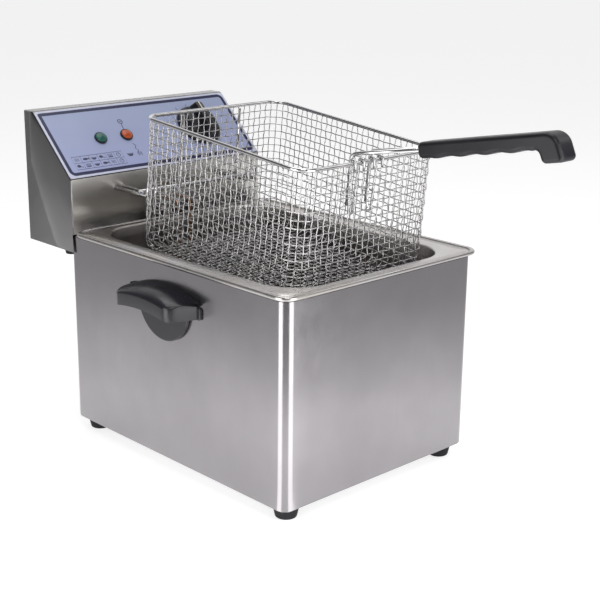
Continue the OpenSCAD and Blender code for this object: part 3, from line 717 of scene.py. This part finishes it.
def cross_wire(axis, at, pitch_z, pitch_floor, phase, wire_r, sway):
    """One wire down a wall, across the floor and up the opposite wall."""
    half = (BASKET_D if axis == 0 else BASKET_W) / 2
    wall_len = BASKET_H - FOLD
    steps = int(round(wall_len / (pitch_z / 4)))
    bend_steps = 6
    path = []
    for s in range(steps + 1):
        o = sway * crimp(s, phase)
        path.append((half + o, -WEAVE_TOP - (wall_len - WEAVE_TOP) * s / steps))
    for s in range(1, bend_steps):
        a = math.pi / 2 * s / bend_steps
        path.append((half - FOLD + FOLD * math.cos(a), -wall_len - FOLD * math.sin(a)))
    run = 2 * (half - FOLD)
    crossings = max(2, int(round(run / pitch_floor)))
    count = crossings * 4
    for s in range(count + 1):
        o = sway * crimp(s, phase + axis)
        path.append((half - FOLD - run * s / count, -BASKET_H + o))
    down = path[:steps + bend_steps]
    path += [(-u, z) for u, z in reversed(down)]
    if axis == 0:
        points = [(at, -u, z) for u, z in path]
    else:
        points = [(u, at, z) for u, z in path]
    return tube(points, wire_r, 6)


def make_rim():
    """Chromed rim wire, butt-welded at the middle of the back."""
    ring = rounded_rect(BASKET_W, BASKET_D, BASKET_CORNER, 10)
    verts, faces = tube([(x, y, 0) for x, y in ring], RIM_WIRE / 2, 16, closed=True)
    weld = lathe(mm((0, -2.6), (1.6, -2.2), (2.25, 0), (1.6, 2.2), (0, 2.6)), 16)
    turn = Matrix.Translation((12 * MM, BASKET_D / 2, 0)) @ Matrix.Rotation(math.pi / 2, 4, "Y")
    piece("rim_wire", *joined([(verts, faces), moved(weld, turn)]), "basket", "chromed_wire",
          ["basket_rim"], matrix=basket_frame())


def make_hook():
    """Two legs down the rear wall that carry the bar lying on the hanger."""
    to_row = basket_frame()
    bar_y, bar_z = hook_hi.y - 2 * MM, hook_lo.z + 2 * MM
    leg_y = BASKET_D / 2 + 2.35 * MM
    parts = []
    for sign in (-1, 1):
        top = to_row @ Vector((sign * 40 * MM, leg_y, -4 * MM))
        fall = (top.z - bar_z) / BASKET_UP.z
        low = top - BASKET_UP * fall
        end = Vector((sign * 40 * MM, bar_y, bar_z))
        parts.append(tube(bent([top, low, end], 5 * MM), 1.75 * MM, 12))
    half = hook_hi.x
    bar = [(-half + 1.2 * MM, bar_y, bar_z), (half - 1.2 * MM, bar_y, bar_z)]
    parts.append(rounded_bar(bar, 2 * MM))
    piece("hook_wire", *joined(parts), "basket", "chromed_wire", ["basket_hook"])


def rounded_bar(ends, r):
    """Straight round bar with domed ends."""
    a, b = Vector(ends[0]), Vector(ends[1])
    way = (b - a).normalized()
    path = [a - way * r * 0.55, a - way * r * 0.4, a, b, b + way * r * 0.4, b + way * r * 0.55]
    sizes = [0.35, 0.75, 1, 1, 0.75, 0.35]
    return tube(path, lambda i, n: r * sizes[i], 14)


def make_hanger():
    """Two hairpins that stick out of the head's front wall and turn up at their ends."""
    hang_z = hanger_lo.z + 2.25 * MM
    front = hanger_lo.y + 2.25 * MM
    inside = head_lo.y + 4 * MM
    tip = hanger_hi.z - 2.25 * MM
    parts = []
    for sign in (-1, 1):
        a, b = (sign * 72 - 5.5) * MM, (sign * 72 + 5.5) * MM
        path = bent([(a, inside, hang_z), (a, front, hang_z), (a, front, tip), (b, front, tip),
                     (b, front, hang_z), (b, inside, hang_z)], 4 * MM)
        parts.append(tube(path, 2.25 * MM, 14))
    piece("hanger_wire", *joined(parts), "head", "chromed_wire", ["basket_hanger"])


HANDLE_X = (prong_lo.x + prong_hi.x) / 2
PRONG_HALF = (prong_hi.x - prong_lo.x) / 2 - 2 * MM
PRONG_Y = -BASKET_D / 2 + 8 * MM
PRONG_LOW = -44 * MM
OVER_RIM = 9.5 * MM
SLOPE = math.radians(16.5)
NECK = 73 * MM


def on_handle(u, v, x=0.0):
    """A point of the handle's own frame, in the basket's frame: u out along the grip, v up."""
    return Vector((HANDLE_X + x, -BASKET_D / 2 - u * math.cos(SLOPE) + v * math.sin(SLOPE),
                   OVER_RIM + u * math.sin(SLOPE) + v * math.cos(SLOPE)))


def make_bracket():
    """For each prong: a narrow loop down the front wall, clipped over the rim, and a keeper."""
    y = -BASKET_D / 2 + 3.4 * MM
    top = RIM_WIRE / 2 + 1.4 * MM
    out = -BASKET_D / 2 - RIM_WIRE / 2 - 1.4 * MM
    low = PRONG_LOW - 8 * MM
    parts = []
    for sign in (-1, 1):
        x = HANDLE_X + sign * PRONG_HALF
        loop = [(x - 6 * MM, out, -7 * MM), (x - 6 * MM, out, top), (x - 6 * MM, y, top),
                (x - 2.4 * MM, y, low), (x + 2.4 * MM, y, low), (x + 6 * MM, y, top),
                (x + 6 * MM, out, top), (x + 6 * MM, out, -7 * MM)]
        parts.append(tube(bent(loop, 2.2 * MM, 5), 1.2 * MM, 10))
        keep_z = PRONG_LOW + 12 * MM
        keeper = [(x - 4.2 * MM, y, keep_z), (x - 4.2 * MM, PRONG_Y + 5 * MM, keep_z),
                  (x + 4.2 * MM, PRONG_Y + 5 * MM, keep_z), (x + 4.2 * MM, y, keep_z)]
        parts.append(tube(bent(keeper, 2.5 * MM, 5), 1 * MM, 10))
    piece("bracket_wire", *joined(parts), "basket", "chromed_wire",
          ["handle_bracket"], matrix=basket_frame())


def make_handle_wires():
    """The handle's two bars: upright prongs behind the rim, bent over and drawn together."""
    rise = (-BASKET_D / 2 - PRONG_Y) * math.tan(SLOPE)
    parts = []
    for sign in (-1, 1):
        x = HANDLE_X + sign * PRONG_HALF
        path = [Vector((x, PRONG_Y, PRONG_LOW)), Vector((x, PRONG_Y, OVER_RIM + rise)),
                on_handle(NECK + 16 * MM, -1.5 * MM, sign * 2.6 * MM)]
        parts.append(tube(bent(path, 7 * MM, 8), 2 * MM, 14))
    piece("handle_bars", *joined(parts), "basket_handle", "chromed_wire",
          ["handle_wires"], matrix=basket_frame())


def grip_outline():
    """Side outline of the grip: level bar, scalloped underside, hooked end."""
    def arc(u, v, r, a0, a1, n=7):
        return [(u + r * math.cos(math.radians(a0 + (a1 - a0) * k / n)),
                 v + r * math.sin(math.radians(a0 + (a1 - a0) * k / n))) for k in range(n + 1)]
    start, end = 73, 232
    hook, wave = end - 28, start + 14
    pts = arc(start + 5, 0.8, 5, 180, 90)
    pts += arc(end - 17, -9, 14.5, 90, 12, 10)
    pts += arc(end - 5, -16.5, 4.5, 10, -80)
    pts += arc(hook + 10, -16, 5, -90, -160)
    pts += arc(hook - 1, -14.5, 5.2, 20, 90)
    for k in range(33):
        u = hook - 4 - (hook - 4 - wave) * k / 32
        pts.append((u, -9.6 + 0.8 * math.sin(2 * math.pi * 4 * k / 32)))
    pts += arc(start + 5, -4.6, 5, 270, 180)
    return [(u * MM, v * MM) for u, v in pts]


def make_grip():
    """Moulded grip round the two bars."""
    half = 11.5 * MM
    verts, faces = prism(grip_outline(), -half, half)
    axes = Matrix.Translation(on_handle(0, 0)) @ Matrix((
        Vector((0, -math.cos(SLOPE), math.sin(SLOPE))), Vector((0, math.sin(SLOPE), math.cos(SLOPE))),
        Vector((1, 0, 0)))).transposed().to_4x4()
    grip = piece("grip_moulding", verts, faces, "basket_handle", "grip_plastic",
                 ["handle_grip"], matrix=basket_frame() @ axes)
    bevelled(sharpen(grip, 40), 4.6 * MM, 6, 50)


# ---- control head ----

def head_outline():
    """Side outline of the head in (y, z)."""
    crest = PANEL_AT.y + PANEL_L * PANEL_T.y
    return [(head_lo.y, head_lo.z), (head_lo.y, CASE_TOP + 1 * MM), (head_lo.y, PANEL_AT.z),
            (crest, head_hi.z),
            (head_hi.y, head_hi.z), (head_hi.y, head_lo.z)]


def make_head_cover():
    """Folded sheet box, open behind and below, with small rounds along every fold."""
    corners = head_outline()
    half = PANEL_W / 2
    n = len(corners)
    bm = bmesh.new()
    left = [bm.verts.new((-half, y, z)) for y, z in corners]
    right = [bm.verts.new((half, y, z)) for y, z in corners]
    bm.faces.new(left)
    bm.faces.new(right[::-1])
    for i in range(1, n - 2):
        bm.faces.new((left[i], left[i + 1], right[i + 1], right[i]))
    bmesh.ops.recalc_face_normals(bm, faces=bm.faces)
    folds = [e for e in bm.edges if len(e.link_faces) == 2]
    bmesh.ops.bevel(bm, geom=folds, offset=1.3 * MM, segments=4, profile=0.5, affect="EDGES",
                    clamp_overlap=True)
    verts = [v.co.copy() for v in bm.verts]
    bm.verts.index_update()
    faces = [tuple(v.index for v in f.verts) for f in bm.faces]
    bm.free()
    cover = piece("head_wrap", verts, faces, "head", "head_steel", ["head_cover"])
    # Painted light and shade: faces that look straight to the front take the paler copy, all others the darker
    # one.
    cover.data.materials.append(HEAD_FRONT_PAINTED_LIGHT)
    for polygon in cover.data.polygons:
        polygon.material_index = int(polygon.normal.y < -0.95)
    thick = cover.modifiers.new("Sheet", "SOLIDIFY")
    thick.thickness = 1 * MM
    thick.offset = -1
    sharpen(cover, 40)


def panel_outline(w, h, inset):
    """Border of the print, its upper left corner nearly sharp and the others round."""
    middle = PANEL_L / 2
    corners = ((1, -1, 7 * MM), (1, 1, 7 * MM), (-1, 1, 2.5 * MM), (-1, -1, 7 * MM))
    pts = []
    for k, (sx, sy, r) in enumerate(corners):
        c = (sx * (w / 2 - r), middle + sy * (h / 2 - r))
        r = max(r - inset, 0.2 * MM)
        if r == 0.2 * MM:
            c = (sx * (w / 2 - inset - r), middle + sy * (h / 2 - inset - r))
        pts += [(c[0] + r * math.cos(math.radians(-90 + 90 * k + 11.25 * i)),
                 c[1] + r * math.sin(math.radians(-90 + 90 * k + 11.25 * i))) for i in range(9)]
    return pts


def make_panel():
    """Printed film on the slope: pale margin, navy border line and tinted field."""
    film = 0.35 * MM
    edge = rounded_rect(PANEL_W - 1.2 * MM, PANEL_L - 3 * MM, 3 * MM, 6, (0, PANEL_L / 2))
    margin = piece("panel_film", *prism(edge, 0.02 * MM, film), "head", "panel_print",
                   ["control_panel"], matrix=panel_frame())
    bevelled(sharpen(margin, 30), 0.12 * MM, 2, 50)
    line = 4.2 * MM
    outer = panel_outline(265 * MM, 89 * MM, 0)
    inner = panel_outline(265 * MM, 89 * MM, line)
    n = len(outer)
    z = film + 0.03 * MM
    verts = [(x, y, z) for x, y in outer + inner]
    faces = [(i, (i + 1) % n, n + (i + 1) % n, n + i) for i in range(n)]
    piece("panel_border", verts, faces, "head", "panel_print", material=NAVY, matrix=panel_frame(),
          smooth=False)
    field = [(x, y, z - 0.01 * MM) for x, y in inner]
    piece("panel_tint", field, [tuple(range(n))], "head", "panel_print", material=FIELD,
          matrix=panel_frame(), smooth=False)


# ---- generic pictograms, drawn as ink shapes on the panel ----

def stroke(points, width, closed=False):
    """A flat line of ink through the points."""
    pts = [Vector(p) for p in points]
    n = len(pts)
    left, right = [], []
    for i, p in enumerate(pts):
        a = pts[i - 1] if (i > 0 or closed) else p
        b = pts[(i + 1) % n] if (i < n - 1 or closed) else p
        way = (b - a).normalized()
        side = Vector((-way.y, way.x)) * width / 2
        left.append(p + side)
        right.append(p - side)
    verts = [(v.x, v.y, 0) for v in left + right]
    last = n if closed else n - 1
    faces = [(i, (i + 1) % n, n + (i + 1) % n, n + i) for i in range(last)]
    return verts, faces


def blob(points):
    return [(x, y, 0) for x, y in points], [tuple(range(len(points)))]


def oval(x, y, rx, ry, n=20):
    return [(x + rx * math.cos(2 * math.pi * k / n), y + ry * math.sin(2 * math.pi * k / n))
            for k in range(n)]


def fish(x, y, s):
    return [blob(oval(x, y, 2.6 * s, 1.3 * s)),
            blob([(x + 2.2 * s, y), (x + 4 * s, y + 1.3 * s), (x + 4 * s, y - 1.3 * s)])]


def drumstick(x, y, s):
    return [blob(oval(x - s, y + 0.3 * s, 2 * s, 1.5 * s)),
            stroke([(x + 0.6 * s, y - 0.3 * s), (x + 3.2 * s, y - 1.5 * s)], 0.7 * s)]


def chips(x, y, s):
    return [stroke([(x + (k - 1.5) * 1.1 * s, y - 1.2 * s), (x + (k - 1.5) * 1.5 * s, y + 2 * s)],
                   0.6 * s) for k in range(4)] + [stroke([(x - 2.4 * s, y - 1.4 * s),
                                                         (x + 2.4 * s, y - 1.4 * s)], 0.9 * s)]


def bowl(x, y, s):
    half = [(x + 2.6 * s * math.cos(math.radians(a)), y + 2 * s * math.sin(math.radians(a)))
            for a in range(180, 361, 20)]
    return [blob(half), stroke([(x - 3.1 * s, y + 0.5 * s), (x + 3.1 * s, y + 0.5 * s)], 0.5 * s)]


def waves(x, y, s):
    parts = []
    for k in (-1, 0, 1):
        line = [(x + k * 1.6 * s + 0.5 * s * math.sin(a * 1.1), y + (a / 3 - 1.6) * s)
                for a in range(0, 11)]
        parts.append(stroke(line, 0.45 * s))
    return parts


def dial(x, y, s):
    return [stroke(oval(x, y, 2 * s, 2 * s), 0.5 * s, closed=True),
            stroke([(x, y), (x + 1.1 * s, y + 1.1 * s)], 0.6 * s)]


def make_pictograms():
    """A framed two-row chart of foods, and small signs beside the lamps."""
    s = 1 * MM
    left, right, low, high = mm(-121, -54, 11.5, 29)
    middle = (low + high) / 2
    thin = 0.5 * MM
    parts = [stroke([(left, low), (right, low), (right, high), (left, high)], 0.6 * MM, True),
             stroke([(left, middle), (right, middle)], thin)]
    signs = [waves, fish, bowl, drumstick, chips, dial, drumstick, chips, bowl, fish, waves, dial]
    columns = 6
    for k, sign in enumerate(signs):
        x = left + (right - left) * (k % columns + 0.5) / columns
        y = (high + middle) / 2 if k < columns else (low + middle) / 2
        parts += sign(x, y, 1.25 * s)
    for k in range(1, columns):
        x = left + (right - left) * k / columns
        parts.append(stroke([(x, low), (x, high)], 0.35 * MM))
    orange = -35 * MM
    parts.append(stroke(mm((-34, 58), (-33, 66)), 0.9 * MM))
    parts.append(stroke(oval(orange + 2 * MM, 69.5 * MM, 3 * MM, 3 * MM), 0.9 * MM, True))
    parts += waves(orange + 2 * MM, 69.5 * MM, 0.8 * s)
    zigzag = [(orange + (2 + (k % 2) * 2.5) * MM, (37 - 3.4 * k) * MM) for k in range(5)]
    parts.append(stroke(zigzag, 0.9 * MM))
    parts += bowl(orange - 9 * MM, 23 * MM, 1.5 * s)
    parts += waves(orange + 4 * MM, 22 * MM, 1.4 * s)
    knob_s = KNOB_AT.x
    for k in range(11):
        a = math.radians(240 - 30 * k)
        r0, r1 = 31 * MM, (33.5 if k % 2 else 35) * MM
        parts.append(stroke([(knob_s + r0 * math.cos(a), KNOB_T + r0 * math.sin(a)),
                             (knob_s + r1 * math.cos(a), KNOB_T + r1 * math.sin(a))], 0.8 * MM))
    verts, faces = joined(parts)
    piece("panel_signs", verts, faces, "head", "panel_print", material=GREY_INK,
          matrix=panel_frame(h=0.41 * MM), smooth=False)


def make_lamps():
    """Domed lenses in glossy bezels."""
    for name, x in (("green", -70.5 * MM), ("orange", -35 * MM)):
        at = panel_frame(x, KNOB_T, 0.35 * MM)
        ring = fillet(mm((5.6, 0), (7.8, 0), (7.6, 2.2), (6.8, 2.4), (6.6, 1)), mm(0.3, 0.8, 0.3))
        sharpen(piece(name + "_bezel", *lathe(ring, 48), "head", "lamp_bezel", matrix=at), 40)
        dome = [(6.55 * MM, 1 * MM)] + [(6.55 * MM * math.cos(q), 2.1 * MM + 1.9 * MM * math.sin(q))
                                        for q in (math.radians(10 * k) for k in range(9))]
        piece(name + "_cap", *lathe(dome + [(0, 4 * MM)], 48), "head", name + "_lens",
              [name + "_lamp_lens"], matrix=at)


def make_knob():
    """Turned skirt with a raised finger bar and a pale pointer line."""
    profile = fillet(mm((0, 0.6), (24.5, 0.6), (28.5, 0.6), (28.5, 2.6), (26.1, 4.9), (21.5, 5.4),
                        (19.5, 13), (0, 14.2)), mm(0.2, 0.6, 1.2, 0.8, 1.5, 2.5), 4)
    skirt = lathe([(abs(p[0]), p[1]) for p in profile], 72)
    place = panel_frame(KNOB_AT.x, KNOB_T, 0.4 * MM)
    sharpen(piece("knob_skirt", *skirt, "knob", "knob_plastic", ["control_knob"], matrix=place), 50)
    outline = rounded_rect(14 * MM, 48 * MM, 5 * MM, 6)
    top = rounded_rect(10.5 * MM, 43 * MM, 4 * MM, 6)
    n = len(outline)
    heights = [(outline, 2.5 * MM, 1.0), (outline, 10 * MM, 0.985), (top, 19.5 * MM, 1.0),
               (top, 21.4 * MM, 0.93), (top, 22 * MM, 0.8)]
    verts = [(x * k, y * k, z) for ring, z, k in heights for x, y in ring]
    bar = piece("knob_bar", verts, ring_faces(n, len(heights), caps=True), "knob", "knob_plastic",
                matrix=place)
    sharpen(bar, 50)
    mark = prism(rounded_rect(1.8 * MM, 13 * MM, 0.8 * MM, 3, (0, 13 * MM)), 21.9 * MM, 22.15 * MM)
    piece("knob_mark", *mark, "knob", "knob_plastic", material=IVORY, matrix=place)


# ---- stage, light and camera ----

FAR_SIDE = Vector((0.69, 0.724, 0))
CAMERA_AT = Vector((-0.89565, -0.93539, 0.56417))
LEFT_BAND, RIGHT_BAND = 172, 281


def make_stage():
    """Pale floor, lit from within like a light table, its glow painted light laid out by place: white round the
    object, in a lane fanning out from below the main camera and, brighter still, in fans before the strips that
    the near corner shows as bright bands; greyer farther out and in a wedge between them, painted shade that
    darkens the casing's faces in reflection."""
    mesh = bpy.data.meshes.new("floor")
    size = 30
    mesh.from_pydata([(-size, -size, 0), (size, -size, 0), (size, size, 0), (-size, size, 0)], [],
                     [(0, 1, 2, 3)])
    floor = bpy.data.objects.new("floor", mesh)
    bpy.context.scene.collection.objects.link(floor)
    n = Nodes("floor_painted_light")

    def vector_math(operation, a, b=None):
        node = n.add("ShaderNodeVectorMath", operation=operation)
        n.link(a, node.inputs[0])
        if b is not None:
            node.inputs[1].default_value = b
        return node

    def reach_from(centre):
        out = vector_math("SUBTRACT", n.place, centre).outputs["Vector"]
        return (vector_math("NORMALIZE", out).outputs["Vector"],
                vector_math("LENGTH", out).outputs["Value"])

    def toward(way, azimuth, wide, soft):
        """1 within so many degrees of the azimuth, fading to 0."""
        a = math.radians(azimuth)
        dot = vector_math("DOT_PRODUCT", way, (math.cos(a), math.sin(a), 0)).outputs["Value"]
        return n.remap(dot, 0, 1, math.cos(math.radians(wide + soft)), math.cos(math.radians(wide)))

    way, far = reach_from((0, CASING_Y, 0))
    pool = n.remap(far, 1.0, 0.48, 0.25, 1.0)
    way, far = reach_from((CAMERA_AT.x, CAMERA_AT.y, 0))
    lane = toward(way, math.degrees(math.atan2(FAR_SIDE.y, FAR_SIDE.x)), 14.5, 9)
    way, far = reach_from((shell_lo.x + 11 * MM, shell_lo.y + 11 * MM, 0))
    # Painted shade: a wedge in front of the near corner glows less, more so farther out, so the casing's faces
    # look darker in reflection.
    wedge, dim = toward(way, 226, 27, 8), n.remap(far, 1.0, 0.3, 0.12, 0.62)
    # Painted light: two fans before the strips glow brighter near the corner, so its rounded edge shows two bright
    # bands in reflection.
    painted_light_bands = n.math("MAXIMUM", toward(way, LEFT_BAND, 19, 5), toward(way, RIGHT_BAND, 20, 5))
    painted_light_bands = n.math("MULTIPLY", painted_light_bands, n.remap(far, BAND_GLOW, 0.0, 0.40, 0.62))
    white = n.math("MAXIMUM", pool, lane)
    dark = n.math("MULTIPLY", wedge, n.math("MAXIMUM", n.math("SUBTRACT", white, dim), 0))
    glow = n.math("ADD", n.math("MULTIPLY", n.math("SUBTRACT", white, dark), FLOOR_GLOW), painted_light_bands)
    # Painted shade too: the floor's colour is greyer wherever its glow is not white.
    tone_with_painted_shade = n.mix(white, (0.20, 0.20, 0.205), (0.5, 0.5, 0.503))
    floor.data.materials.append(n.set(color=tone_with_painted_shade, rough=0.9, metal=0.0, glow=(1, 1, 1),
                                      glow_strength=glow, specular=0.0))


def area_light(name, at, aim, size, radiance, color=(1, 1, 1)):
    """Rectangular softbox of the given size and surface brightness."""
    data = bpy.data.lights.new(name, "AREA")
    data.shape = "RECTANGLE"
    data.size, data.size_y = size
    data.energy = radiance * math.pi * size[0] * size[1]
    data.color = color
    light = bpy.data.objects.new(name, data)
    bpy.context.scene.collection.objects.link(light)
    light.location = at
    light.rotation_euler = (Vector(at) - Vector(aim)).to_track_quat("Z", "Y").to_euler()
    return light


def round_corner(azimuth, distance, height):
    """A place at that compass angle and distance from the casing's near corner."""
    a = math.radians(azimuth)
    return Vector((shell_lo.x + distance * math.cos(a), shell_lo.y + distance * math.sin(a),
                   height))


def make_light():
    """Dim room, a bright far wall, two upright strip softboxes and a key softbox."""
    world = bpy.data.worlds.new("studio")
    bpy.context.scene.world = world
    world.use_nodes = True
    tree = world.node_tree
    background = tree.nodes["Background"]
    coord = tree.nodes.new("ShaderNodeTexCoord")
    toward = tree.nodes.new("ShaderNodeVectorMath")
    toward.operation = "DOT_PRODUCT"
    toward.inputs[1].default_value = (FAR_SIDE + UP * 0.2).normalized()
    ramp = tree.nodes.new("ShaderNodeMapRange")
    ramp.interpolation_type = "SMOOTHSTEP"
    for key, value in (("From Min", 0.35), ("From Max", 0.9), ("To Min", ROOM), ("To Max", FAR_WALL)):
        ramp.inputs[key].default_value = value
    tree.links.new(coord.outputs["Generated"], toward.inputs[0])
    tree.links.new(toward.outputs["Value"], ramp.inputs["Value"])
    tree.links.new(ramp.outputs["Result"], background.inputs["Strength"])
    background.inputs["Color"].default_value = (1.0, 0.995, 1.0, 1)
    for name, azimuth, width in (("left_strip", LEFT_BAND, 0.32), ("right_strip", RIGHT_BAND, 0.34)):
        at = round_corner(azimuth, 0.42, 0.26)
        aim = Vector((shell_lo.x, shell_lo.y, 0.26))
        area_light(name, at, aim, (width, 0.5), STRIP)
    aim = (0, CASING_Y, 0.25)
    area_light("key", (-0.75, -1.0, 1.55), aim, (0.6, 0.6), KEY)
    area_light("top", (0.15, 0.25, 1.9), aim, (1.4, 1.4), TOP)
    area_light("fill", (1.3, -0.9, 1.4), aim, (0.8, 0.8), FILL)
    bpy.context.scene.view_settings.view_transform = "Standard"
    bpy.context.scene.view_settings.look = "None"


def make_camera():
    """At the photograph's angle: front left, a little above."""
    azimuth, elevation, roll = (math.radians(a) for a in (-43.62, 16.65, 0.61))
    back = Vector((math.sin(azimuth) * math.cos(elevation),
                   -math.cos(azimuth) * math.cos(elevation), math.sin(elevation)))
    right = (-back).cross(UP).normalized()
    up = right.cross(-back)
    right, up = (right * math.cos(roll) + up * math.sin(roll),
                 up * math.cos(roll) - right * math.sin(roll))
    data = bpy.data.cameras.new("camera")
    data.lens = 76.71
    data.sensor_width = 36
    camera = bpy.data.objects.new("camera", data)
    bpy.context.scene.collection.objects.link(camera)
    camera.matrix_world = Matrix.Translation(CAMERA_AT) @ Matrix(
        (right, up, back)).transposed().to_4x4()
    bpy.context.scene.camera = camera


make_camera()
make_stage()
make_light()
dress_cad_nodes()
make_casing()
make_feet()
make_side_handles()
make_tank()
make_weave()
make_rim()
make_hook()
make_hanger()
make_bracket()
make_handle_wires()
make_grip()
make_head_cover()
make_panel()
make_pictograms()
make_lamps()
make_knob()
